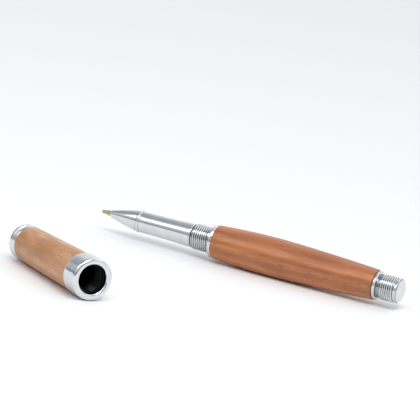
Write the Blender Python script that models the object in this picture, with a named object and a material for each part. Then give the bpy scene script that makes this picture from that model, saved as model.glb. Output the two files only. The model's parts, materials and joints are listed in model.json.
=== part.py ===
"""Capped rollerball pen with a turned wooden barrel and cap, cap off and lying beside the pen.

The pen and the cap are both turned, so nearly every piece is one outline spun about its axis.
Pen pieces are measured along the pen from its rear end (0) to the ball, and cap pieces along
the cap from its closed end (0) to the mouth. Both axes are the local Z of an empty.
"""

import math

import bmesh
import bpy
from mathutils import Matrix, Vector

MM = 0.001

# ---- clearances and smoothness
GAP = 0.3 * MM
BODY_SIDES = 32
INNER_SIDES = 20
SHARP_ANGLE = math.radians(32)

# ---- pen: stations along its axis from the rear end
REAR_END = 10.9 * MM
BARREL_LENGTH = 71.0 * MM
BARREL_FRONT = REAR_END + BARREL_LENGTH
COUPLER_LENGTH = 10.0 * MM
COUPLER_FRONT = BARREL_FRONT + COUPLER_LENGTH
GRIP_LENGTH = 23.3 * MM
GRIP_FRONT = COUPLER_FRONT + GRIP_LENGTH
BEAD_LENGTH = 1.3 * MM
BEAD_FRONT = GRIP_FRONT + BEAD_LENGTH
CONE_LENGTH = 12.4 * MM
CONE_FRONT = BEAD_FRONT + CONE_LENGTH
TIP_LENGTH = 4.5 * MM
PEN_LENGTH = CONE_FRONT + TIP_LENGTH

# ---- pen: radii
BARREL_REAR_RADIUS = 6.15 * MM
BARREL_BELLY_RADIUS = 7.9 * MM
BARREL_FRONT_RADIUS = 6.8 * MM
BELLY_SHARE = 0.614
BELLY_STATION = REAR_END + BELLY_SHARE * BARREL_LENGTH
REAR_TAPER_POWER = 1.45
WOOD_BORE_RADIUS = 5.55 * MM
TUBE_RADIUS = 5.25 * MM
TUBE_BORE_RADIUS = 4.85 * MM
THREAD_CREST_RADIUS = 5.2 * MM
THREAD_ROOT_RADIUS = 4.85 * MM
THREAD_PITCH = 0.9 * MM
FLANGE_RADIUS = 6.65 * MM
FLANGE_LENGTH = 1.0 * MM
GRIP_REAR_RADIUS = 4.8 * MM
GRIP_FRONT_RADIUS = 4.25 * MM
BEAD_RADIUS = 4.5 * MM
CONE_END_RADIUS = 1.45 * MM
CONE_HOLE_RADIUS = 1.15 * MM
END_RIM_RADIUS = 5.05 * MM
TRIM_RING_RADIUS = 5.85 * MM

# ---- refill: a standard capped rollerball refill
REFILL_LENGTH = 110.5 * MM
REFILL_RADIUS = 3.05 * MM
REFILL_BORE_RADIUS = 2.65 * MM
NOSE_RADIUS = 2.6 * MM
TIP_RADIUS = 1.0 * MM
TIP_END_RADIUS = 0.65 * MM
BALL_RADIUS = 0.35 * MM
BALL_CENTRE = PEN_LENGTH - BALL_RADIUS
REFILL_REAR = PEN_LENGTH - REFILL_LENGTH
REFILL_TRAVEL = 1.0 * MM

# ---- screw that joins the grip section to the barrel
SECTION_STEM_RADIUS = 3.75 * MM
COUPLER_BORE_RADIUS = 4.1 * MM

# ---- cap: stations from its closed end, and radii
FINIAL_LENGTH = 3.4 * MM
TOP_RING_LENGTH = 1.3 * MM
CAP_WOOD_START = FINIAL_LENGTH + TOP_RING_LENGTH + 2 * GAP
LIP_RING_LENGTH = 8.8 * MM
CAP_LENGTH = 62.0 * MM
LIP_RING_START = CAP_LENGTH - LIP_RING_LENGTH
CAP_WOOD_END = LIP_RING_START - GAP
FINIAL_RADIUS = 7.2 * MM
TOP_RING_RADIUS = 7.15 * MM
CAP_WOOD_FAR_RADIUS = 7.1 * MM
CAP_WOOD_BELLY_RADIUS = 7.9 * MM
CAP_TAPER_POWER = 1.7
CAP_BORE_RADIUS = 6.65 * MM
CAP_TUBE_RADIUS = 6.35 * MM
CAP_TUBE_BORE_RADIUS = 6.05 * MM
LINER_RADIUS = 5.75 * MM
LINER_BORE_RADIUS = 5.3 * MM
LINER_FLOOR = 9.9 * MM
LINER_BACK = LINER_FLOOR - 0.8 * MM
INSERT_START = 45.0 * MM
LIP_RING_RADIUS = 8.5 * MM
LIP_MOUTH_RADIUS = 5.75 * MM
LIP_FACE_INNER_RADIUS = 6.7 * MM
LIP_ROLL = 1.2 * MM
LIP_FLOOR = CAP_LENGTH - LIP_ROLL - 0.4 * MM

# ---- where the two lie on the table, seen from above
CAP_MOUTH_PLACE = Vector((0.0, 0.0))
PEN_REAR_PLACE = Vector((-12.37, 143.78)) * MM
PEN_HEADING = math.radians(218.18)
CAPPING_GAP = 6.0 * MM


def make_material(name, colour, roughness, metallic=0.0):
    """Principled material with a plain colour, roughness and metallic value."""
    material = bpy.data.materials.new(name)
    material.use_nodes = True
    shader = material.node_tree.nodes["Principled BSDF"]
    shader.inputs["Base Color"].default_value = (*colour, 1.0)
    shader.inputs["Roughness"].default_value = roughness
    shader.inputs["Metallic"].default_value = metallic
    material.diffuse_color = (*colour, 1.0)
    return material


def chrome(name):
    return make_material(name, (0.82, 0.83, 0.85), 0.08, 1.0)


def brass(name):
    return make_material(name, (0.80, 0.58, 0.26), 0.25, 1.0)


def barrel_timber(name):
    return make_material(name, (0.36, 0.15, 0.08), 0.35)


def cap_timber(name):
    return make_material(name, (0.58, 0.33, 0.22), 0.38)


def black_plastic(name):
    return make_material(name, (0.02, 0.02, 0.022), 0.4)


def white_plastic(name):
    return make_material(name, (0.80, 0.80, 0.78), 0.4)


def spring_steel(name):
    return make_material(name, (0.60, 0.60, 0.62), 0.3, 1.0)


def ink_fibre(name):
    return make_material(name, (0.03, 0.03, 0.06), 0.9)


def place_empty(name, matrix, parent=None):
    """Empty at a world matrix, parented to another empty where one is given."""
    empty = bpy.data.objects.new(name, None)
    empty.empty_display_size = 10 * MM
    bpy.context.collection.objects.link(empty)
    if parent is None:
        empty.matrix_world = matrix
    else:
        empty.parent = parent
        empty.matrix_parent_inverse = parent.matrix_world.inverted()
        empty.matrix_world = matrix
    bpy.context.view_layer.update()
    return empty


def add_object(name, data, surface, parent):
    """Object on its parent's axis, with its own material."""
    piece = bpy.data.objects.new(name, data)
    data.materials.append(surface(name))
    piece.parent = parent
    bpy.context.collection.objects.link(piece)


def turned(name, outline, surface, parent, sides=BODY_SIDES):
    """Spin an outline of (radius, height) points about the local Z axis into one solid."""
    builder = bmesh.new()
    corners = [builder.verts.new((radius, 0.0, height)) for radius, height in outline]
    starts_on_axis = outline[0][0] == 0.0 and outline[-1][0] == 0.0
    ends = corners[1:] if starts_on_axis else corners[1:] + corners[:1]
    edges = [builder.edges.new(pair) for pair in zip(corners, ends)]
    bmesh.ops.spin(
        builder,
        geom=corners + edges,
        cent=(0.0, 0.0, 0.0),
        axis=(0.0, 0.0, 1.0),
        angle=2 * math.pi,
        steps=sides,
        use_merge=True,
    )
    bmesh.ops.remove_doubles(builder, verts=builder.verts, dist=0.001 * MM)
    bmesh.ops.recalc_face_normals(builder, faces=builder.faces)
    mesh = bpy.data.meshes.new(name)
    builder.to_mesh(mesh)
    builder.free()
    mesh.shade_smooth()
    mesh.set_sharp_from_angle(angle=SHARP_ANGLE)
    add_object(name, mesh, surface, parent)


def tube_outline(outer, inner, start, end):
    return [(inner, start), (outer, start), (outer, end), (inner, end)]


def rod_outline(radius, start, end):
    return [(0.0, start), (radius, start), (radius, end), (0.0, end)]


def thread_outline(root, crest, start, end):
    """Ridges from start to end, a pitch apart, as root and crest points."""
    count = round((end - start) / THREAD_PITCH)
    pitch = (end - start) / count
    points = [(root, start)]
    for ridge in range(count):
        points.append((crest, start + (ridge + 0.5) * pitch))
        points.append((root, start + (ridge + 1) * pitch))
    return points


def barrel_radius(station):
    """Barrel's outer radius: a parabola to the front of the belly, a fuller curve behind it."""
    if station > BELLY_STATION:
        share = (station - BELLY_STATION) / (BARREL_FRONT - BELLY_STATION)
        return BARREL_BELLY_RADIUS - (BARREL_BELLY_RADIUS - BARREL_FRONT_RADIUS) * share**2
    share = (BELLY_STATION - station) / (BELLY_STATION - REAR_END)
    taper = share**REAR_TAPER_POWER
    return BARREL_BELLY_RADIUS - (BARREL_BELLY_RADIUS - BARREL_REAR_RADIUS) * taper


def cap_radius(station):
    """Cap's outer radius: nearly straight by the lip ring, drawn in to the closed end."""
    share = (CAP_WOOD_END - station) / (CAP_WOOD_END - CAP_WOOD_START)
    taper = share**CAP_TAPER_POWER
    return CAP_WOOD_BELLY_RADIUS - (CAP_WOOD_BELLY_RADIUS - CAP_WOOD_FAR_RADIUS) * taper


def timber_outline(radius_at, bore, start, end, steps=12, edge=0.25 * MM):
    """Turned timber over a straight bore, its two end edges eased."""
    outline = [(bore, start), (radius_at(start) - edge, start)]
    for step in range(steps + 1):
        station = start + edge + (end - start - 2 * edge) * step / steps
        outline.append((radius_at(station), station))
    return outline + [(radius_at(end) - edge, end), (bore, end)]


def make_barrel(axis):
    """Timber barrel on its brass tube, with the fittings pressed into the two ends."""
    turned(
        "barrel_wood",
        timber_outline(barrel_radius, WOOD_BORE_RADIUS, REAR_END, BARREL_FRONT),
        barrel_timber,
        axis,
    )
    tube = tube_outline(TUBE_RADIUS, TUBE_BORE_RADIUS, REAR_END + GAP, BARREL_FRONT - GAP)
    turned("barrel_tube", tube, brass, axis, INNER_SIDES)
    make_front_coupler(axis)
    make_rear_fittings(axis)
    make_spring(axis)


def make_front_coupler(axis):
    """Coupler: a plug in the tube, a flange against the timber, and the threads for the cap."""
    plug = TUBE_BORE_RADIUS - GAP
    plug_start = BARREL_FRONT - 12.0 * MM
    flange_start = BARREL_FRONT + GAP
    flange_end = flange_start + FLANGE_LENGTH
    edge = 0.25 * MM
    thread_start = flange_end + 0.9 * MM
    thread_end = thread_start + 8 * THREAD_PITCH
    outline = [(COUPLER_BORE_RADIUS, plug_start), (plug, plug_start), (plug, flange_start)]
    outline += [(FLANGE_RADIUS - edge, flange_start), (FLANGE_RADIUS, flange_start + edge)]
    outline += [(FLANGE_RADIUS, flange_end - edge), (FLANGE_RADIUS - edge, flange_end)]
    outline += [(THREAD_ROOT_RADIUS, flange_end)]
    outline += thread_outline(THREAD_ROOT_RADIUS, THREAD_CREST_RADIUS, thread_start, thread_end)
    outline += [(THREAD_ROOT_RADIUS, COUPLER_FRONT - GAP), (COUPLER_BORE_RADIUS, COUPLER_FRONT - GAP)]
    turned("front_coupler", outline, chrome, axis)


def make_rear_fittings(axis):
    """Rear bushing that backs the spring, trim ring, and the end cap that the cap posts on."""
    bushing = TUBE_BORE_RADIUS - GAP
    bushing_front = REAR_END + 13.0 * MM
    well = REFILL_RADIUS + GAP
    floor = REAR_END + 3.0 * MM
    stud_radius = 2.2 * MM
    stud_end = floor - 1.0 * MM
    stud_hole = stud_radius + GAP
    outline = [(0.0, floor), (well, floor), (well, bushing_front), (bushing, bushing_front)]
    outline += [(bushing, REAR_END + GAP), (stud_hole, REAR_END + GAP)]
    outline += [(stud_hole, stud_end + GAP), (0.0, stud_end + GAP)]
    turned("rear_bushing", outline, brass, axis, INNER_SIDES)

    ring_start = REAR_END - GAP - 1.2 * MM
    ring_end = REAR_END - GAP
    edge = 0.3 * MM
    ring = [(stud_hole, ring_start), (TRIM_RING_RADIUS - edge, ring_start)]
    ring += [(TRIM_RING_RADIUS, ring_start + edge), (TRIM_RING_RADIUS, ring_end - edge)]
    ring += [(TRIM_RING_RADIUS - edge, ring_end), (stud_hole, ring_end)]
    turned("rear_trim_ring", ring, chrome, axis)

    chamfer = 0.6 * MM
    rim_end = 1.4 * MM
    thread_start = rim_end + 0.3 * MM
    thread_end = thread_start + 7 * THREAD_PITCH
    neck_end = ring_start - GAP
    cap = [(0.0, 0.0), (END_RIM_RADIUS - chamfer, 0.0), (END_RIM_RADIUS, chamfer)]
    cap += [(END_RIM_RADIUS, rim_end)]
    cap += thread_outline(THREAD_ROOT_RADIUS, THREAD_CREST_RADIUS, thread_start, thread_end)
    cap += [(THREAD_ROOT_RADIUS, neck_end), (stud_radius, neck_end)]
    cap += [(stud_radius, stud_end), (0.0, stud_end)]
    turned("posting_end_cap", cap, chrome, axis)


def make_spring(axis):
    """Coil spring in the bushing's well that keeps the refill pressed forward."""
    wire_radius = 0.22 * MM
    coil_radius = 2.2 * MM
    start = REAR_END + 3.0 * MM + GAP + wire_radius
    end = REFILL_REAR - REFILL_TRAVEL - GAP - wire_radius
    turns = 5
    steps_per_turn = 10
    curve = bpy.data.curves.new("refill_spring", "CURVE")
    curve.dimensions = "3D"
    curve.bevel_depth = wire_radius
    curve.bevel_resolution = 1
    curve.use_fill_caps = True
    coil = curve.splines.new("POLY")
    steps = turns * steps_per_turn
    coil.points.add(steps)
    for step, point in enumerate(coil.points):
        turn = 2 * math.pi * step / steps_per_turn
        height = start + (end - start) * step / steps
        point.co = (coil_radius * math.cos(turn), coil_radius * math.sin(turn), height, 1.0)
    add_object("refill_spring", curve, spring_steel, axis)


def make_section(bead_axis, section_axis):
    """Grip section that screws into the coupler, its bead ring, and the cone that it carries."""
    stem_start = COUPLER_FRONT - 7.5 * MM
    refill_clear = REFILL_RADIUS + GAP
    socket = 3.8 * MM
    socket_start = GRIP_FRONT - 7.0 * MM
    edge = 0.2 * MM
    grip = [(refill_clear, stem_start), (SECTION_STEM_RADIUS, stem_start)]
    grip += [(SECTION_STEM_RADIUS, COUPLER_FRONT), (GRIP_REAR_RADIUS - edge, COUPLER_FRONT)]
    steps = 5
    for step in range(steps + 1):
        share = step / steps
        station = COUPLER_FRONT + edge + (GRIP_LENGTH - GAP - 2 * edge) * share
        waist = 0.12 * MM * math.sin(math.pi * share)
        radius = GRIP_REAR_RADIUS + (GRIP_FRONT_RADIUS - GRIP_REAR_RADIUS) * share - waist
        grip.append((radius, station))
    grip += [(GRIP_FRONT_RADIUS - edge, GRIP_FRONT - GAP), (socket, GRIP_FRONT - GAP)]
    grip += [(socket, socket_start), (refill_clear, socket_start)]
    turned("grip_section", grip, chrome, section_axis)

    bead_bore = socket
    half = BEAD_LENGTH / 2
    bead = [(bead_bore, GRIP_FRONT)]
    arc_steps = 4
    for step in range(arc_steps + 1):
        turn = math.pi * step / arc_steps
        radius = bead_bore + 0.15 * MM + (BEAD_RADIUS - bead_bore - 0.15 * MM) * math.sin(turn)
        bead.append((radius, GRIP_FRONT + half - half * math.cos(turn)))
    bead.append((bead_bore, BEAD_FRONT))
    turned("bead_ring", bead, chrome, bead_axis)

    stem = socket - GAP
    nose_clear = NOSE_RADIUS + GAP
    shoulder = BEAD_FRONT + GAP
    lip = CONE_FRONT - 1.4 * MM
    cone = [(nose_clear, socket_start + GAP), (stem, socket_start + GAP), (stem, shoulder)]
    cone_rear_radius = GRIP_FRONT_RADIUS
    for step in range(steps + 1):
        share = step / steps
        radius = cone_rear_radius + (CONE_END_RADIUS - cone_rear_radius) * share
        radius += 0.22 * MM * math.sin(math.pi * share)
        cone.append((radius, shoulder + (CONE_FRONT - 0.1 * MM - shoulder) * share))
    cone += [(CONE_END_RADIUS - 0.1 * MM, CONE_FRONT), (CONE_HOLE_RADIUS, CONE_FRONT)]
    cone += [(CONE_HOLE_RADIUS, lip), (nose_clear, BEAD_FRONT + 2.0 * MM)]
    turned("nib_cone", cone, chrome, section_axis)


def make_refill(axis, ball_axis):
    """Refill: a tube with its ink core, end plug, nose, feed rod, tip and rolling ball."""
    plug_length = 6.0 * MM
    plug_head = REFILL_REAR + 1.0 * MM
    nose_rear = GRIP_FRONT - 7.5 * MM
    tube = tube_outline(REFILL_RADIUS, REFILL_BORE_RADIUS, plug_head + GAP, nose_rear)
    turned("refill_tube", tube, white_plastic, axis, INNER_SIDES)

    inner = REFILL_BORE_RADIUS - GAP
    plug_front = REFILL_REAR + plug_length
    plug = [(0.0, REFILL_REAR), (REFILL_RADIUS, REFILL_REAR), (REFILL_RADIUS, plug_head)]
    plug += [(inner, plug_head), (inner, plug_front), (0.0, plug_front)]
    turned("refill_end_plug", plug, black_plastic, axis, INNER_SIDES)

    nose_spigot = nose_rear - 5.0 * MM
    core = rod_outline(inner, plug_front + GAP, nose_spigot - GAP)
    turned("ink_core", core, ink_fibre, axis, INNER_SIDES)

    feed_clear = 0.75 * MM
    tip_socket = 1.15 * MM
    nose_end_radius = 1.4 * MM
    tip_seat = CONE_FRONT - 4.0 * MM
    socket_floor = tip_seat - 2.5 * MM
    nose_shoulder = BEAD_FRONT + 1.6 * MM
    nose = [(feed_clear, nose_spigot), (inner, nose_spigot), (inner, nose_rear + GAP)]
    nose += [(NOSE_RADIUS, nose_rear + GAP), (NOSE_RADIUS, nose_shoulder)]
    nose += [(nose_end_radius, tip_seat), (tip_socket, tip_seat), (tip_socket, socket_floor)]
    nose += [(feed_clear, socket_floor)]
    turned("refill_nose", nose, black_plastic, axis, INNER_SIDES)

    tip_rear = tip_seat - 2.2 * MM
    feed = rod_outline(feed_clear - 0.25 * MM, nose_spigot + GAP, tip_rear - 0.2 * MM)
    turned("feed_rod", feed, white_plastic, axis, 12)

    stem = TIP_RADIUS - 0.1 * MM
    ball_clear = BALL_RADIUS + 0.08 * MM
    cup_floor = BALL_CENTRE - BALL_RADIUS - 0.1 * MM
    nozzle_start = PEN_LENGTH - 2.6 * MM
    rim = PEN_LENGTH - 0.25 * MM
    tip = [(0.0, tip_rear), (stem, tip_rear), (stem, tip_seat + 0.4 * MM)]
    tip += [(TIP_RADIUS, tip_seat + 0.6 * MM), (TIP_RADIUS, nozzle_start - 0.4 * MM)]
    tip += [(0.85 * MM, nozzle_start), (TIP_END_RADIUS, rim - 0.15 * MM)]
    tip += [(TIP_END_RADIUS - 0.15 * MM, rim), (ball_clear, rim)]
    tip += [(ball_clear, cup_floor + 0.1 * MM), (0.25 * MM, cup_floor), (0.0, cup_floor)]
    turned("refill_tip", tip, brass, axis, INNER_SIDES)

    ball = []
    arc_steps = 6
    for step in range(arc_steps + 1):
        turn = math.pi * step / arc_steps
        radius = BALL_RADIUS * math.sin(turn) if 0 < step < arc_steps else 0.0
        ball.append((radius, -BALL_RADIUS * math.cos(turn)))
    turned("rolling_ball", ball, spring_steel, ball_axis, 12)


def make_cap(axis):
    """Timber cap on its brass tube, with lip ring, thread insert, liner and top fittings."""
    turned(
        "cap_wood",
        timber_outline(cap_radius, CAP_BORE_RADIUS, CAP_WOOD_START, CAP_WOOD_END, steps=8),
        cap_timber,
        axis,
    )
    tube = tube_outline(
        CAP_TUBE_RADIUS, CAP_TUBE_BORE_RADIUS, CAP_WOOD_START + GAP, CAP_WOOD_END - GAP
    )
    turned("cap_tube", tube, brass, axis, INNER_SIDES)
    make_lip_ring(axis)
    make_cap_linings(axis)
    make_cap_top(axis)


def make_lip_ring(axis):
    """Broad ring round the mouth: straight outside, and rolled over a flat face to the bore."""
    bore = CAP_TUBE_BORE_RADIUS + 0.1 * MM
    round_over = 1.3 * MM
    roll_width = LIP_FACE_INNER_RADIUS - LIP_MOUTH_RADIUS
    edge = 0.3 * MM
    ring = [(bore, LIP_RING_START), (LIP_RING_RADIUS - edge, LIP_RING_START)]
    ring += [(LIP_RING_RADIUS, LIP_RING_START + edge)]
    arc_steps = 3
    for step in range(arc_steps + 1):
        turn = math.pi / 2 * step / arc_steps
        radius = LIP_RING_RADIUS - round_over * (1 - math.cos(turn))
        ring.append((radius, CAP_LENGTH - round_over * (1 - math.sin(turn))))
    for step in range(arc_steps + 1):
        turn = math.pi / 2 * step / arc_steps
        radius = LIP_FACE_INNER_RADIUS - roll_width * math.sin(turn)
        ring.append((radius, CAP_LENGTH - LIP_ROLL * (1 - math.cos(turn))))
    ring += [(LIP_MOUTH_RADIUS, LIP_FLOOR), (bore, LIP_FLOOR)]
    turned("cap_lip_ring", ring, chrome, axis)


def make_cap_linings(axis):
    """Threaded insert behind the lip, and behind it the closed liner over the nib."""
    insert_end = LIP_FLOOR - GAP
    thread_end = insert_end - 1.0 * MM
    thread_start = thread_end - 8 * THREAD_PITCH
    crest = THREAD_ROOT_RADIUS + 0.15 * MM
    root = THREAD_CREST_RADIUS + 0.2 * MM
    insert = [(LINER_RADIUS, insert_end), (LINER_RADIUS, INSERT_START), (root, INSERT_START)]
    insert += thread_outline(root, crest, thread_start, thread_end)
    insert += [(root + 0.1 * MM, insert_end)]
    turned("cap_thread_insert", insert, black_plastic, axis)

    liner_end = INSERT_START - GAP
    liner = [(0.0, LINER_BACK), (LINER_RADIUS, LINER_BACK)]
    liner += [(LINER_RADIUS, liner_end), (LINER_BORE_RADIUS, liner_end)]
    liner += [(LINER_BORE_RADIUS, LINER_FLOOR), (0.0, LINER_FLOOR)]
    turned("cap_inner_liner", liner, black_plastic, axis)


def make_cap_top(axis):
    """Bushing in the tube's closed end, the top ring, and the finial that its screw holds."""
    screw_radius = 1.5 * MM
    screw_hole = screw_radius + GAP
    bushing_start = CAP_WOOD_START
    bushing_end = LINER_BACK - GAP
    bushing = tube_outline(CAP_TUBE_BORE_RADIUS - GAP, screw_hole, bushing_start, bushing_end)
    turned("cap_top_bushing", bushing, brass, axis, INNER_SIDES)

    ring_start = FINIAL_LENGTH + GAP
    ring_end = ring_start + TOP_RING_LENGTH
    edge = 0.3 * MM
    ring = [(screw_hole, ring_start), (TOP_RING_RADIUS - edge, ring_start)]
    ring += [(TOP_RING_RADIUS, ring_start + edge), (TOP_RING_RADIUS, ring_end - edge)]
    ring += [(TOP_RING_RADIUS - edge, ring_end), (screw_hole, ring_end)]
    turned("cap_top_ring", ring, chrome, axis)

    chamfer = 0.9 * MM
    groove = 0.5 * MM
    socket_floor = FINIAL_LENGTH - 2.0 * MM
    finial = [(0.0, 0.0), (FINIAL_RADIUS - chamfer, 0.0), (FINIAL_RADIUS, chamfer)]
    finial += [(FINIAL_RADIUS, FINIAL_LENGTH - 0.9 * MM)]
    finial += [(FINIAL_RADIUS - groove, FINIAL_LENGTH - 0.6 * MM)]
    finial += [(FINIAL_RADIUS - groove, FINIAL_LENGTH), (screw_hole, FINIAL_LENGTH)]
    finial += [(screw_hole, socket_floor), (0.0, socket_floor)]
    turned("finial", finial, chrome, axis)

    screw_end = bushing_end - 0.2 * MM
    screw = rod_outline(screw_radius, socket_floor + GAP, screw_end)
    turned("finial_screw", screw, spring_steel, axis, 16)


def axis_matrix(point, forward, up=Vector((0.0, 0.0, 1.0))):
    """World matrix at a point with local Z forward and local X as near to up as it can be."""
    forward = forward.normalized()
    side = forward.cross(up).normalized()
    top = side.cross(forward)
    return Matrix.Translation(point) @ Matrix((top, side, forward)).transposed().to_4x4()


def pen_matrix():
    """The pen lies level on its belly, so its axis is a belly radius above the table."""
    heading = Vector((math.cos(PEN_HEADING), math.sin(PEN_HEADING), 0.0))
    return axis_matrix(Vector((*PEN_REAR_PLACE, BARREL_BELLY_RADIUS)), heading)


def cap_matrix():
    """The cap lies on its finial's rim and on the back edge of its lip ring, mouth along +X."""
    finial_contact = 0.9 * MM
    ring_contact = LIP_RING_START + 0.3 * MM
    rise = math.atan((LIP_RING_RADIUS - FINIAL_RADIUS) / (ring_contact - finial_contact))
    closed_end_height = FINIAL_RADIUS * math.cos(rise) - finial_contact * math.sin(rise)
    forward = Vector((math.cos(rise), 0.0, math.sin(rise)))
    mouth_reach = CAP_LENGTH * math.cos(rise)
    place = Vector((CAP_MOUTH_PLACE.x - mouth_reach, CAP_MOUTH_PLACE.y, closed_end_height))
    return axis_matrix(place, forward)


def swing_matrix(pen, cap):
    """Axis of the one turn that carries the cap from the table to in line before the nib."""
    mouth = cap @ Vector((0.0, 0.0, CAP_LENGTH))
    lined_up = pen @ Vector((0.0, 0.0, PEN_LENGTH + CAPPING_GAP))
    move = lined_up - mouth
    before = cap.to_3x3() @ Vector((0.0, 0.0, 1.0))
    after = pen.to_3x3() @ Vector((0.0, 0.0, -1.0))
    normal = before.cross(after).normalized()
    middle = (before + after).normalized()
    lean = math.atan(-normal.dot(move) / middle.dot(move))
    axis = math.cos(lean) * normal + math.sin(lean) * middle
    flat_before = before - axis * before.dot(axis)
    flat_after = after - axis * after.dot(axis)
    angle = flat_before.angle(flat_after)
    centre = (mouth + lined_up) / 2 + axis.cross(move) / (2 * math.tan(angle / 2))
    return axis_matrix(centre, axis, Vector((1.0, 0.0, 0.0)))


def centre_on_origin(root):
    """Move the whole layout so that its bounding box is centred over the origin."""
    bpy.context.view_layer.update()
    low = Vector((math.inf, math.inf))
    high = Vector((-math.inf, -math.inf))
    for piece in bpy.context.scene.objects:
        if piece.type == "EMPTY":
            continue
        mesh = piece.to_mesh()
        for vertex in mesh.vertices:
            place = piece.matrix_world @ vertex.co
            low.x, low.y = min(low.x, place.x), min(low.y, place.y)
            high.x, high.y = max(high.x, place.x), max(high.y, place.y)
        piece.to_mesh_clear()
    middle = (low + high) / 2
    root.location = (-middle.x, -middle.y, 0.0)
    bpy.context.view_layer.update()


def build():
    for leftover in list(bpy.data.objects):
        bpy.data.objects.remove(leftover, do_unlink=True)
    root = place_empty("layout", Matrix.Identity(4))
    pen = pen_matrix()
    cap = cap_matrix()
    pen_axis = place_empty("pen_axis", pen, root)
    bead_axis = place_empty("bead_axis", pen, pen_axis)
    section_axis = place_empty("section_axis", pen, bead_axis)
    refill_axis = place_empty("refill_axis", pen, bead_axis)
    ball_matrix = pen @ Matrix.Translation((0.0, 0.0, BALL_CENTRE))
    ball_axis = place_empty("ball_axis", ball_matrix, refill_axis)
    swing_axis = place_empty("cap_swing_axis", swing_matrix(pen, cap), root)
    cap_axis = place_empty("cap_axis", cap, swing_axis)
    make_barrel(pen_axis)
    make_section(bead_axis, section_axis)
    make_refill(refill_axis, ball_axis)
    make_cap(cap_axis)
    centre_on_origin(root)


build()
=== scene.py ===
"""Looks of the rollerball pen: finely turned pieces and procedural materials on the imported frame.

Every piece is turned, so each one is an outline of (radius, station) points spun about its own
axis. Stations run along the pen from its rear end and along the cap from its closed end. Their
values are measured on the frame's solids, so a piece stands exactly where its solid stands.
"""

import json
import math

import bmesh
import bpy
from mathutils import Matrix, Vector


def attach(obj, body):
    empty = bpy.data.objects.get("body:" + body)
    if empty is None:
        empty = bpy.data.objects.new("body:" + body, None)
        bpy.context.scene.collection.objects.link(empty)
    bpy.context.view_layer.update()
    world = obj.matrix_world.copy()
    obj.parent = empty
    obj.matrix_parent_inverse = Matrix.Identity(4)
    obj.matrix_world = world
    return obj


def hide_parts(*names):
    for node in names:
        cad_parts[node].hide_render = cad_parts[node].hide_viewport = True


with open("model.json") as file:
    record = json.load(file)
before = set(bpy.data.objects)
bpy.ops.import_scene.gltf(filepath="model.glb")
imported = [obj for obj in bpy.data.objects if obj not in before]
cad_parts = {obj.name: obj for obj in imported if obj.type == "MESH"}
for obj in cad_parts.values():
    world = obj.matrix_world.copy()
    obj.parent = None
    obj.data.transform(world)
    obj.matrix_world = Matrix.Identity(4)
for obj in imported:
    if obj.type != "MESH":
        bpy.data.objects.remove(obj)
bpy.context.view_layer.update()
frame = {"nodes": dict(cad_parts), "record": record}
RECORD = frame["record"]

MM = 0.001
FINE_SIDES = 128
SMALL_SIDES = 64

# ---- following an outline on a solid, and refining it
ON_AXIS = 0.001 * MM
IN_PLANE = math.radians(0.5)
SHARP_BEND = math.radians(35)
CURVE_STEPS = 6
EASE_STEPS = 5
EDGE = 0.12 * MM
TIMBER_EDGE = 0.2 * MM
RING_EDGE = 0.3 * MM
FINIAL_EDGE = 0.5 * MM
TIP_EDGE = 0.06 * MM

# ---- threads
THREAD_STARTS = 2
THREAD_STEPS = 12
THREAD_RUN_OUT = 0.5 * MM
THREAD_ROOT_SHARE = 0.1
THREAD_FLANK_SHARE = 0.75
THREAD_SINK_SHARE = 0.2
RIDGE_LEAST = 0.2 * MM
RIDGE_REACH = 0.6 * MM

# ---- painted shade in the threads' grooves, darkening the chrome's colour: full brightness outside the outer two radii
GROOVE_RADII = (4.60 * MM, 4.75 * MM, 4.86 * MM, 5.04 * MM)
GROOVE_PAINTED_SHADE = 0.45
GROOVE_SCALE = 100.0

# ---- camera: where it stands from its target on the table, and its lens
CAMERA_AZIMUTH = math.radians(61.12)
CAMERA_ELEVATION = math.radians(11.90)
CAMERA_DISTANCE = 3296.7 * MM
CAMERA_ROLL = math.radians(10.0)
CAMERA_TARGET = Vector((-104.54, 65.96, 0.0)) * MM
CAMERA_LENS = 685.7
SENSOR_WIDTH = 36.0
CLIP_START = 0.01

# ---- table: its middle, and half its width
TABLE_MIDDLE = Vector((0.0, 0.0, 0.0))
TABLE_HALF_WIDTH = 4.0

# ---- room: the direction that its front faces, and its shades from the horizon there (0) over
# ---- the top to the horizon at the back (1)
ROOM_AZIMUTH = math.radians(10.0)
ROOM_SHADES = (
    (0.00, (0.52, 0.53, 0.54)),
    (0.06, (0.40, 0.41, 0.42)),
    (0.13, (0.74, 0.75, 0.77)),
    (0.32, (0.70, 0.72, 0.75)),
    (0.38, (0.42, 0.45, 0.50)),
    (0.58, (0.54, 0.57, 0.62)),
    (0.70, (0.90, 0.92, 0.94)),
    (0.94, (1.00, 1.00, 1.00)),
)
# ---- share of them that is left, from the room's front (0) by its sides to its back (1)
ROOM_SIDES = ((0.20, 1.0), (0.27, 0.7), (0.38, 0.7), (0.46, 0.95), (0.80, 1.0))
# ---- how strongly the sides count, from low in the room to its top
SIDES_TOP = ((0.70, 1.0), (0.92, 0.0))

# ---- lights: name, azimuth from the room's and elevation in degrees, distance, width and height
# ---- in metres, and power in watts
LIGHTS = (
    ("front_light", -4, 42, 1.2, 1.1, 0.5, 1.65),
    ("key_light", 60, 58, 1.3, 0.7, 0.7, 8.4),
    ("far_light", 172, 62, 1.6, 2.2, 1.4, 4.0),
)


# =================================================================== measuring the frame


def named(items, name):
    return next(item for item in items if item["name"] == name)


def axis_from_mount(name):
    """World matrix at an end face, local Z into the object along its axis, local X upward."""
    mount = named(RECORD["mounts"], name)
    forward = -Vector(mount["axis"]).normalized()
    side = forward.cross(Vector((0.0, 0.0, 1.0))).normalized()
    turn = Matrix((side.cross(forward), side, forward)).transposed().to_4x4()
    return Matrix.Translation(Vector(mount["pos_m"])) @ turn


PEN = axis_from_mount("rear_end_face")
CAP = axis_from_mount("finial_face")


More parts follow.
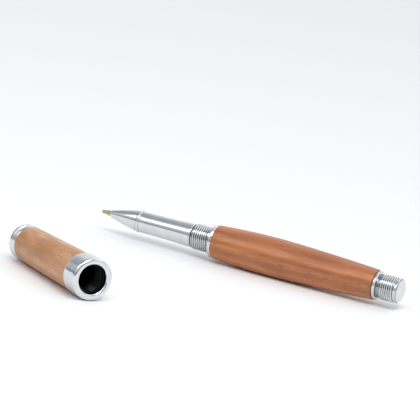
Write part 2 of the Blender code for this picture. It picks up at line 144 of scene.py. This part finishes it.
def outline_of(node, axis):
    """A turned node's outline as (radius, station) points, in order round one half-section."""
    mesh = frame["nodes"][node].data
    to_axis = axis.inverted()
    points = {}
    for vertex in mesh.vertices:
        place = to_axis @ vertex.co
        reach = place.xy.length
        if reach < ON_AXIS or abs(math.atan2(place.y, place.x)) < IN_PLANE:
            points[vertex.index] = (round(reach, 6), round(place.z, 6))
    beside = {}
    for edge in mesh.edges:
        first, second = (points.get(end) for end in edge.vertices)
        if first and second and first != second:
            beside.setdefault(first, set()).add(second)
            beside.setdefault(second, set()).add(first)
    ends = [point for point in beside if len(beside[point]) == 1]
    outline = [min(ends or beside, key=lambda point: (point[1], point[0]))]
    while True:
        onward = beside[outline[-1]].difference(outline)
        if not onward:
            break
        outline.append(min(onward))
    if ends:
        outline = [(0.0, outline[0][1]), *outline, (0.0, outline[-1][1])]
    return outline


# =================================================================== turned shapes


def bend_at(before, here, after):
    """Angle through which an outline turns at a point."""
    return (Vector(here) - Vector(before)).angle(Vector(after) - Vector(here), 0.0)


def curve_between(before, start, end, after, steps):
    """Points from start up to end, on Catmull and Rom's curve through the four."""
    points = []
    for step in range(steps):
        t = step / steps
        points.append(
            tuple(
                0.5 * (2 * b + (c - a) * t + (2 * a - 5 * b + 4 * c - d) * t**2
                       + (3 * b - a - 3 * c + d) * t**3)
                for a, b, c, d in zip(before, start, end, after)
            )
        )
    return points


def refined(outline, edge, closed=True):
    """The outline with its gentle bends drawn as curves and its sharp corners eased."""
    count = len(outline)
    sharp = []
    for index, here in enumerate(outline):
        bend = bend_at(outline[index - 1], here, outline[(index + 1) % count])
        at_end = not closed and index in (0, count - 1)
        sharp.append(at_end or here[0] < ON_AXIS or bend > SHARP_BEND)
    fine, corners = [], set()
    for index in range(count):
        start = outline[index]
        if sharp[index]:
            corners.add(len(fine))
        if not closed and index == count - 1:
            fine.append(start)
            break
        following = (index + 1) % count
        end = outline[following]
        if sharp[index] and sharp[following]:
            fine.append(start)
            continue
        straight_in = [2 * a - b for a, b in zip(start, end)]
        straight_out = [2 * b - a for a, b in zip(start, end)]
        before = straight_in if sharp[index] else outline[index - 1]
        after = straight_out if sharp[following] else outline[(following + 1) % count]
        fine += curve_between(before, start, end, after, CURVE_STEPS)
    return eased(fine, corners, edge, closed)


def eased(outline, corners, edge, closed):
    """The outline with the numbered corners rounded by no more than an edge's width."""
    count = len(outline)
    result = []
    for index, corner in enumerate(outline):
        at_end = not closed and index in (0, count - 1)
        if index not in corners or at_end or corner[0] < ON_AXIS:
            result.append(corner)
            continue
        here = Vector(corner)
        before = Vector(outline[index - 1])
        after = Vector(outline[(index + 1) % count])
        reach = min(edge, (here - before).length * 0.45, (after - here).length * 0.45)
        entry = here + (before - here).normalized() * reach
        leave = here + (after - here).normalized() * reach
        for step in range(EASE_STEPS + 1):
            t = step / EASE_STEPS
            result.append(tuple(entry * (1 - t) ** 2 + here * 2 * t * (1 - t) + leave * t**2))
    return result


class Thread:
    """Helical ridges between two stations, their grooves cut a little below the root radius."""

    def __init__(self, ridges):
        self.start, self.end = sorted((ridges[0][1], ridges[-1][1]))
        self.root = ridges[0][0]
        self.height = ridges[1][0] - self.root
        self.sink = THREAD_SINK_SHARE * max(self.height, 0.0)
        self.pitch = (self.end - self.start) / (len(ridges) // 2)

    def rise(self, turn, station):
        """Height of the surface over the root radius at a turn about the axis."""
        run_in = min(station - self.start, self.end - station) / THREAD_RUN_OUT
        if run_in <= 0.0:
            return 0.0
        place = (station - self.start) / self.pitch - THREAD_STARTS * turn / (2 * math.pi)
        flank = abs(2 * (place % 1.0) - 1)
        ridge = min(1.0, max(0.0, (1.0 - flank - THREAD_ROOT_SHARE) / THREAD_FLANK_SHARE))
        return ((self.height + self.sink) * ridge - self.sink) * min(1.0, run_in)

    def root_line(self):
        """Close points along the root."""
        steps = round((self.end - self.start) / self.pitch * THREAD_STEPS)
        length = self.end - self.start
        return [(self.root, self.start + length * step / steps) for step in range(steps + 1)]


def split_at_thread(outline):
    """Parts of an outline before and after its thread, and the thread between them."""
    zigzag = [
        abs(first[0] - second[0]) > RIDGE_LEAST and 0 < abs(first[1] - second[1]) < RIDGE_REACH
        for first, second in zip(outline, outline[1:])
    ]
    start = next(index for index in range(len(zigzag)) if all(zigzag[index : index + 4]))
    end = start
    while end < len(zigzag) and zigzag[end]:
        end += 1
    return outline[: start + 1], outline[end:], Thread(outline[start : end + 1])


def spin(name, outline, axis, body, node, material, sides=FINE_SIDES, thread=None):
    """Turn an outline into a closed solid on an axis, and let it stand for a CAD node."""
    builder = bmesh.new()
    rings = []
    for radius, station in outline:
        if radius < ON_AXIS:
            rings.append([builder.verts.new((0.0, 0.0, station))])
            continue
        ring = []
        for side in range(sides):
            turn = 2 * math.pi * side / sides
            reach = radius + (thread.rise(turn, station) if thread and radius == thread.root else 0.0)
            ring.append(builder.verts.new((reach * math.cos(turn), reach * math.sin(turn), station)))
        rings.append(ring)
    pairs = list(zip(rings, rings[1:]))
    if len(rings[0]) > 1:
        pairs.append((rings[-1], rings[0]))
    for low, high in pairs:
        for side in range(sides):
            after = (side + 1) % sides
            corners = [low[side % len(low)], low[after % len(low)]]
            corners += [high[after % len(high)], high[side % len(high)]]
            builder.faces.new(dict.fromkeys(corners))
    bmesh.ops.recalc_face_normals(builder, faces=builder.faces)
    mesh = bpy.data.meshes.new(name)
    builder.to_mesh(mesh)
    builder.free()
    mesh.shade_smooth()
    mesh.set_sharp_from_angle(angle=SHARP_BEND)
    mesh.materials.append(material)
    piece = bpy.data.objects.new(name, mesh)
    piece.matrix_world = axis
    bpy.context.collection.objects.link(piece)
    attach(piece, body)
    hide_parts(node)


def seated(outline, face):
    """The outline with the stations nearest a neighbour's face moved up against that face."""
    nearest = min((station for _, station in outline), key=lambda station: abs(station - face))
    return [(radius, face if station == nearest else station) for radius, station in outline]


def reach_of(node, axis):
    """First and last station of a turned node."""
    stations = [station for _, station in outline_of(node, axis)]
    return min(stations), max(stations)


def turned_piece(name, node, axis, body, material, edge=EDGE, sides=FINE_SIDES, seat=None):
    """Fine version of a CAD node's own outline, seated on a neighbour's face where one is given."""
    outline = outline_of(node, axis)
    if seat is not None:
        outline = seated(outline, seat)
    spin(name, refined(outline, edge), axis, body, node, material, sides)


def threaded_piece(name, node, axis, body, material, edge=EDGE, seat=None):
    """Fine version of a CAD node whose rings stand for a real helical thread."""
    outline = outline_of(node, axis)
    if seat is not None:
        outline = seated(outline, seat)
    before, after, thread = split_at_thread(outline)
    line = thread.root_line()
    if before[-1][1] > after[0][1]:
        line.reverse()
    outline = refined(before, edge, closed=False)[:-1] + line
    outline += refined(after, edge, closed=False)[1:]
    spin(name, outline, axis, body, node, material, thread=thread)


def arc(centre, radius, start, end, steps):
    """Points of an arc as (radius, station), angles measured from the radial direction."""
    points = []
    for step in range(steps + 1):
        turn = start + (end - start) * step / steps
        points.append((centre[0] + radius[0] * math.cos(turn), centre[1] + radius[1] * math.sin(turn)))
    return points


# =================================================================== materials


def shade_ramp(tree, factor, stops):
    """Colours or greys at places from 0 to 1 along a factor."""
    node = tree.nodes.new("ShaderNodeValToRGB")
    elements = node.color_ramp.elements
    while len(elements) < len(stops):
        elements.new(0.5)
    for element, (place, colour) in zip(elements, stops):
        element.position = place
        shade = (colour, colour, colour) if isinstance(colour, float) else colour
        element.color = (*shade, 1.0)
    tree.links.new(factor, node.inputs["Fac"])
    return node.outputs["Color"]


class Surface:
    """A Principled material whose colour, roughness and relief come from textures."""

    def __init__(self, name, metallic=0.0, **constants):
        self.material = bpy.data.materials.new(name)
        self.material.use_nodes = True
        self.tree = self.material.node_tree
        self.shader = self.tree.nodes["Principled BSDF"]
        self.shader.inputs["Metallic"].default_value = metallic
        for socket, value in constants.items():
            self.shader.inputs[socket.replace("_", " ").title().replace("Ior", "IOR")].default_value = value
        self.place = self.tree.nodes.new("ShaderNodeTexCoord").outputs["Object"]

    def link(self, source, node, socket):
        self.tree.links.new(source, node.inputs[socket])

    def stretched(self, scale, shift=(0.0, 0.0, 0.0), vector=None):
        """Object coordinates multiplied by a scale for each direction."""
        mapping = self.tree.nodes.new("ShaderNodeMapping")
        mapping.inputs["Scale"].default_value = scale
        mapping.inputs["Location"].default_value = shift
        self.link(vector or self.place, mapping, "Vector")
        return mapping.outputs["Vector"]

    def noise(self, vector, scale=1.0, detail=3.0, rough=0.55, warp=0.0):
        node = self.tree.nodes.new("ShaderNodeTexNoise")
        node.inputs["Scale"].default_value = scale
        node.inputs["Detail"].default_value = detail
        node.inputs["Roughness"].default_value = rough
        node.inputs["Distortion"].default_value = warp
        self.link(vector, node, "Vector")
        return node.outputs["Fac"]

    def reach(self, scale):
        """Distance from the axis, multiplied by a scale."""
        node = self.tree.nodes.new("ShaderNodeVectorMath")
        node.operation = "LENGTH"
        self.link(self.stretched((scale, scale, 0.0)), node, 0)
        return node.outputs["Value"]

    def rings(self, vector, scale, warp, detail=2.0):
        """Growth rings about an axis along the timber."""
        node = self.tree.nodes.new("ShaderNodeTexWave")
        node.wave_type = "RINGS"
        node.rings_direction = "Z"
        node.inputs["Scale"].default_value = scale
        node.inputs["Distortion"].default_value = warp
        node.inputs["Detail"].default_value = detail
        node.inputs["Detail Scale"].default_value = 1.2
        self.link(vector, node, "Vector")
        return node.outputs["Fac"]

    def ramp(self, factor, *stops):
        """Colours or values at places from 0 to 1 along a factor."""
        return shade_ramp(self.tree, factor, stops)

    def mixed(self, kind, factor, first, second):
        """Colours combined by a blend kind; the factor and the second may be plain values."""
        node = self.tree.nodes.new("ShaderNodeMix")
        node.data_type = "RGBA"
        node.blend_type = kind
        if isinstance(factor, float):
            node.inputs[0].default_value = factor
        else:
            self.tree.links.new(factor, node.inputs[0])
        self.tree.links.new(first, node.inputs[6])
        if isinstance(second, tuple):
            node.inputs[7].default_value = (*second, 1.0)
        else:
            self.tree.links.new(second, node.inputs[7])
        return node.outputs[2]

    def colour(self, source):
        self.link(source, self.shader, "Base Color")

    def roughness(self, source):
        self.link(source, self.shader, "Roughness")

    def relief(self, height, strength, distance):
        node = self.tree.nodes.new("ShaderNodeBump")
        node.inputs["Strength"].default_value = strength
        node.inputs["Distance"].default_value = distance
        self.link(height, node, "Height")
        self.link(node.outputs["Normal"], self.shader, "Normal")


def chrome(name, roughness=0.06, paint_groove_shade=False):
    """Polished chrome plate with haze and fine turning lines, with painted shade darkening its colour in a
    thread's grooves.
    """
    surface = Surface(name, metallic=1.0)
    haze = surface.noise(surface.stretched((260, 260, 260)), detail=4.0)
    colour = surface.ramp(haze, (0.3, (0.66, 0.67, 0.69)), (0.7, (0.72, 0.73, 0.75)))
    if paint_groove_shade:
        # painted shade: the chrome's colour is darkened at the radii of the thread's grooves
        depth = surface.reach(GROOVE_SCALE)
        under, low, high, over = (radius * GROOVE_SCALE for radius in GROOVE_RADII)
        shade = surface.ramp(depth, (under, 1.0), (low, GROOVE_PAINTED_SHADE), (high, GROOVE_PAINTED_SHADE), (over, 1.0))
        colour = surface.mixed("MULTIPLY", 1.0, colour, shade)
    surface.colour(colour)
    surface.roughness(surface.ramp(haze, (0.25, roughness * 0.6), (0.8, roughness * 1.7)))
    lines = surface.noise(surface.stretched((120, 120, 16000)), detail=2.0)
    surface.relief(lines, 0.05, 0.02 * MM)
    return surface.material


def timber(name, dark, middle, light, pore, figure, seed):
    """Finely grained oiled timber: broad colour, long streaks, fine fibres and rows of pores."""
    surface = Surface(name, coat_weight=0.3, coat_roughness=0.24, coat_ior=1.45)
    broad = surface.noise(surface.stretched((130, 130, 40), seed), detail=2.0)
    ringed = surface.stretched((1.0, 1.0, 0.1), (0.016, 0.007, 0.0))
    rings = surface.rings(ringed, scale=70.0, warp=3.0)
    streaks = surface.noise(surface.stretched((520, 520, 16), seed), detail=4.0, rough=0.6)
    fibres = surface.noise(surface.stretched((2600, 2600, 75), seed), detail=5.0, rough=0.65)
    pores = surface.noise(surface.stretched((3200, 3200, 420), seed), detail=2.0)
    rows = surface.noise(surface.stretched((700, 700, 14), seed[::-1]), detail=2.0)

    grain = surface.mixed("MIX", 0.22, streaks, rings)
    grain = surface.mixed("MIX", 0.42, grain, fibres)
    colour = surface.ramp(grain, (0.32, dark), (0.50, middle), (0.68, light))
    blotch = surface.ramp(broad, (0.46, figure[0]), (0.60, figure[1]))
    colour = surface.mixed("MULTIPLY", 0.85, colour, blotch)
    spots = surface.ramp(pores, (0.36, 1.0), (0.46, 0.0))
    in_rows = surface.ramp(rows, (0.52, 0.0), (0.66, 0.85))
    fleck = surface.mixed("MULTIPLY", 1.0, spots, in_rows)
    surface.colour(surface.mixed("MIX", fleck, colour, pore))
    surface.roughness(surface.ramp(fibres, (0.3, 0.36), (0.7, 0.48)))
    surface.relief(surface.mixed("MIX", 0.4, fibres, pores), 0.12, 0.05 * MM)
    return surface.material


def metal(name, low, high, roughness, grain=900):
    """Turned or drawn metal with faint lines round it."""
    surface = Surface(name, metallic=1.0)
    patches = surface.noise(surface.stretched((grain, grain, grain)), detail=4.0)
    surface.colour(surface.ramp(patches, (0.3, low), (0.7, high)))
    surface.roughness(surface.ramp(patches, (0.3, roughness * 0.8), (0.75, roughness * 1.4)))
    lines = surface.noise(surface.stretched((200, 200, 9000)), detail=2.0)
    surface.relief(lines, 0.1, 0.03 * MM)
    return surface.material


def plastic(name, low, high, roughness, grain=1500):
    """Moulded plastic with a faint texture."""
    surface = Surface(name, specular_ior_level=0.08)
    patches = surface.noise(surface.stretched((grain, grain, grain)), detail=4.0)
    surface.colour(surface.ramp(patches, (0.3, low), (0.7, high)))
    surface.roughness(surface.ramp(patches, (0.3, roughness * 0.85), (0.75, roughness * 1.25)))
    surface.relief(patches, 0.08, 0.03 * MM)
    return surface.material


CHROME = chrome("polished_chrome")
# chrome with painted shade in its thread grooves
GROOVE_SHADED_CHROME = chrome("threaded_chrome_painted_groove_shade", paint_groove_shade=True)
BRASS = metal("turned_brass", (0.62, 0.44, 0.18), (0.80, 0.60, 0.28), 0.24)
TIP_BRASS = metal("tip_brass", (0.36, 0.32, 0.17), (0.52, 0.46, 0.28), 0.34)
STEEL = metal("bright_steel", (0.52, 0.53, 0.55), (0.66, 0.67, 0.69), 0.2)
BLACK_GLOSS = plastic("black_insert_plastic", (0.004, 0.004, 0.005), (0.010, 0.010, 0.011), 0.2)
BLACK_MATT = plastic("black_liner_plastic", (0.003, 0.003, 0.004), (0.008, 0.008, 0.009), 0.5)
WHITE_PLASTIC = plastic("white_plastic", (0.72, 0.72, 0.70), (0.82, 0.82, 0.80), 0.4)
INK_FIBRE = plastic("inky_fibre", (0.010, 0.010, 0.030), (0.030, 0.030, 0.070), 0.85, 4000)
BARREL_TIMBER = timber(
    "barrel_timber",
    dark=(0.300, 0.092, 0.028),
    middle=(0.440, 0.152, 0.050),
    light=(0.580, 0.228, 0.086),
    pore=(0.140, 0.042, 0.018),
    figure=((0.80, 0.75, 0.75), (1.0, 1.0, 1.0)),
    seed=(0.3, 1.7, 0.9),
)
CAP_TIMBER = timber(
    "cap_timber",
    dark=(0.400, 0.180, 0.068),
    middle=(0.525, 0.252, 0.112),
    light=(0.620, 0.325, 0.172),
    pore=(0.260, 0.110, 0.050),
    figure=((0.74, 0.64, 0.44), (1.0, 1.0, 1.0)),
    seed=(4.1, 0.2, 2.6),
)


# =================================================================== the pen


def make_pen():
    rear_face, front_face = reach_of("barrel_wood", PEN)
    ring_face = reach_of("rear_trim_ring", PEN)[0]
    turned_piece("barrel", "barrel_wood", PEN, "barrel", BARREL_TIMBER, TIMBER_EDGE)
    threaded_piece("coupler", "front_coupler", PEN, "barrel", GROOVE_SHADED_CHROME, seat=front_face)
    turned_piece("rear_ring", "rear_trim_ring", PEN, "barrel", CHROME, RING_EDGE, seat=rear_face)
    threaded_piece("rear_end_cap", "posting_end_cap", PEN, "barrel", GROOVE_SHADED_CHROME, seat=ring_face)
    bead_start, bead_end = reach_of("bead_ring", PEN)
    turned_piece("grip", "grip_section", PEN, "section", CHROME, seat=bead_start)
    turned_piece("cone", "nib_cone", PEN, "section", CHROME, seat=bead_end)
    turned_piece("writing_tip", "refill_tip", PEN, "refill", TIP_BRASS, TIP_EDGE, SMALL_SIDES)
    make_bead()
    make_ball()


def make_bead():
    """Half-round bead on a short straight foot."""
    outline = outline_of("bead_ring", PEN)
    bore = min(radius for radius, _ in outline)
    crest = max(radius for radius, _ in outline)
    start, end = reach_of("bead_ring", PEN)
    foot = sorted({radius for radius, _ in outline})[1]
    middle = (foot, (start + end) / 2)
    size = (crest - foot, (end - start) / 2)
    round_part = arc(middle, size, -math.pi / 2, math.pi / 2, 20)
    outline = [(bore, start), *round_part, (bore, end)]
    spin("bead", outline, PEN, "section_carrier", "bead_ring", CHROME)


def make_ball():
    """Round ball between its CAD solid's two ends."""
    start, end = reach_of("rolling_ball", PEN)
    radius = (end - start) / 2
    inner = arc((0.0, start + radius), (radius, radius), -math.pi / 2, math.pi / 2, 24)[1:-1]
    outline = [(0.0, start), *inner, (0.0, end)]
    spin("point_ball", outline, PEN, "ball", "rolling_ball", STEEL, SMALL_SIDES)


# =================================================================== the cap


def make_cap():
    turned_piece("cap_barrel", "cap_wood", CAP, "cap", CAP_TIMBER, TIMBER_EDGE)
    threaded_piece("thread_insert", "cap_thread_insert", CAP, "cap", BLACK_GLOSS)
    turned_piece("inner_liner", "cap_inner_liner", CAP, "cap", BLACK_MATT)
    far_face, lip_face = reach_of("cap_wood", CAP)
    turned_piece("top_ring", "cap_top_ring", CAP, "cap", CHROME, RING_EDGE, seat=far_face)
    turned_piece("finial_cap", "finial", CAP, "cap", CHROME, FINIAL_EDGE)
    make_lip_ring(lip_face)


def make_lip_ring(timber_face):
    """Lip ring with its round-over drawn as a true arc between its side and its face."""
    outline = seated(outline_of("cap_lip_ring", CAP), timber_face)
    side = max(radius for radius, _ in outline)
    face = max(station for _, station in outline)
    side_end = max(station for radius, station in outline if radius == side)
    face_start = max(radius for radius, station in outline if station == face)
    first, last = outline.index((side, side_end)), outline.index((face_start, face))
    low, high = min(first, last), max(first, last)
    centre = (face_start, side_end)
    size = (side - face_start, face - side_end)
    round_part = arc(centre, size, 0.0, math.pi / 2, 16)
    if first > last:
        round_part.reverse()
    rest = outline[high:] + outline[: low + 1]
    outline = refined(rest, EDGE, closed=False) + round_part[1:-1]
    spin("lip_ring", outline, CAP, "cap", "cap_lip_ring", CHROME)


# =================================================================== pieces inside


def finish_hidden_nodes():
    """The solids inside keep their shape and get the material of the real piece."""
    inside = {
        "barrel_tube": BRASS,
        "rear_bushing": BRASS,
        "refill_spring": STEEL,
        "refill_tube": WHITE_PLASTIC,
        "refill_end_plug": BLACK_MATT,
        "ink_core": INK_FIBRE,
        "refill_nose": BLACK_MATT,
        "feed_rod": WHITE_PLASTIC,
        "cap_tube": BRASS,
        "cap_top_bushing": BRASS,
        "finial_screw": STEEL,
    }
    for node, material in inside.items():
        for slot in frame["nodes"][node].material_slots:
            slot.material = material


# =================================================================== stage


def make_floor():
    builder = bmesh.new()
    bmesh.ops.create_grid(builder, x_segments=1, y_segments=1, size=TABLE_HALF_WIDTH)
    mesh = bpy.data.meshes.new("floor")
    builder.to_mesh(mesh)
    builder.free()
    floor = bpy.data.objects.new("floor", mesh)
    bpy.context.collection.objects.link(floor)
    surface = Surface("pale_floor")
    cloud = surface.noise(surface.stretched((3, 3, 3)), detail=1.0)
    surface.colour(surface.ramp(cloud, (0.0, (0.86, 0.86, 0.86)), (1.0, (0.89, 0.89, 0.89))))
    surface.roughness(surface.ramp(cloud, (0.0, 0.6), (1.0, 0.7)))
    mesh.materials.append(surface.material)


def look_from(azimuth, elevation, distance, target):
    """Point at a distance from the target; azimuth 0 stands at -Y and 90 degrees at +X."""
    away = Vector((math.sin(azimuth), -math.cos(azimuth), 0.0)) * math.cos(elevation)
    away.z = math.sin(elevation)
    return target + away * distance


def make_camera():
    data = bpy.data.cameras.new("camera")
    data.lens = CAMERA_LENS
    data.sensor_width = SENSOR_WIDTH
    data.clip_start = CLIP_START
    camera = bpy.data.objects.new("camera", data)
    bpy.context.collection.objects.link(camera)
    place = look_from(CAMERA_AZIMUTH, CAMERA_ELEVATION, CAMERA_DISTANCE, CAMERA_TARGET)
    facing = (CAMERA_TARGET - place).to_track_quat("-Z", "Y").to_matrix().to_4x4()
    roll = Matrix.Rotation(CAMERA_ROLL, 4, "Z")
    camera.matrix_world = Matrix.Translation(place) @ facing @ roll
    bpy.context.scene.camera = camera


def softbox(name, azimuth, elevation, distance, width, height, power):
    """Soft rectangular light that faces the middle of the table, its azimuth from the room's."""
    data = bpy.data.lights.new(name, "AREA")
    data.shape = "RECTANGLE"
    data.size = width
    data.size_y = height
    data.energy = power
    light = bpy.data.objects.new(name, data)
    bpy.context.collection.objects.link(light)
    side = ROOM_AZIMUTH + math.radians(azimuth)
    place = look_from(side, math.radians(elevation), distance, TABLE_MIDDLE)
    facing = (TABLE_MIDDLE - place).to_track_quat("-Z", "Y").to_matrix().to_4x4()
    light.matrix_world = Matrix.Translation(place) @ facing


def along(tree, place, direction):
    """How far a direction of sight points along a given direction."""
    node = tree.nodes.new("ShaderNodeVectorMath")
    node.operation = "DOT_PRODUCT"
    node.inputs[1].default_value = direction
    tree.links.new(place, node.inputs[0])
    return node.outputs["Value"]


def half_turns(tree, rise, run):
    """Angle above the run, as a share of half a turn, the rise taken without its sign."""
    size = tree.nodes.new("ShaderNodeMath")
    size.operation = "ABSOLUTE"
    tree.links.new(rise, size.inputs[0])
    angle = tree.nodes.new("ShaderNodeMath")
    angle.operation = "ARCTAN2"
    tree.links.new(size.outputs[0], angle.inputs[0])
    tree.links.new(run, angle.inputs[1])
    share = tree.nodes.new("ShaderNodeMath")
    share.operation = "DIVIDE"
    share.inputs[1].default_value = math.pi
    tree.links.new(angle.outputs[0], share.inputs[0])
    return share.outputs[0]


def make_room():
    """Studio room for the chrome to reflect: pale at the back, grey-blue above, duller aside."""
    world = bpy.data.worlds.new("studio_room")
    bpy.context.scene.world = world
    world.use_nodes = True
    tree = world.node_tree
    place = tree.nodes.new("ShaderNodeTexCoord").outputs["Generated"]
    toward = along(tree, place, look_from(ROOM_AZIMUTH, 0.0, 1.0, TABLE_MIDDLE))
    aside = along(tree, place, look_from(ROOM_AZIMUTH + math.pi / 2, 0.0, 1.0, TABLE_MIDDLE))
    up = along(tree, place, (0.0, 0.0, 1.0))
    shades = shade_ramp(tree, half_turns(tree, up, toward), ROOM_SHADES)
    sides = shade_ramp(tree, half_turns(tree, aside, toward), ROOM_SIDES)
    mix = tree.nodes.new("ShaderNodeMix")
    mix.data_type = "RGBA"
    mix.blend_type = "MULTIPLY"
    tree.links.new(shade_ramp(tree, up, SIDES_TOP), mix.inputs[0])
    tree.links.new(shades, mix.inputs[6])
    tree.links.new(sides, mix.inputs[7])
    tree.links.new(mix.outputs[2], tree.nodes["Background"].inputs["Color"])


def make_lights():
    for light in LIGHTS:
        softbox(*light)
    make_room()
    bpy.context.scene.view_settings.view_transform = "Standard"


make_pen()
make_cap()
finish_hidden_nodes()
make_floor()
make_camera()
make_lights()
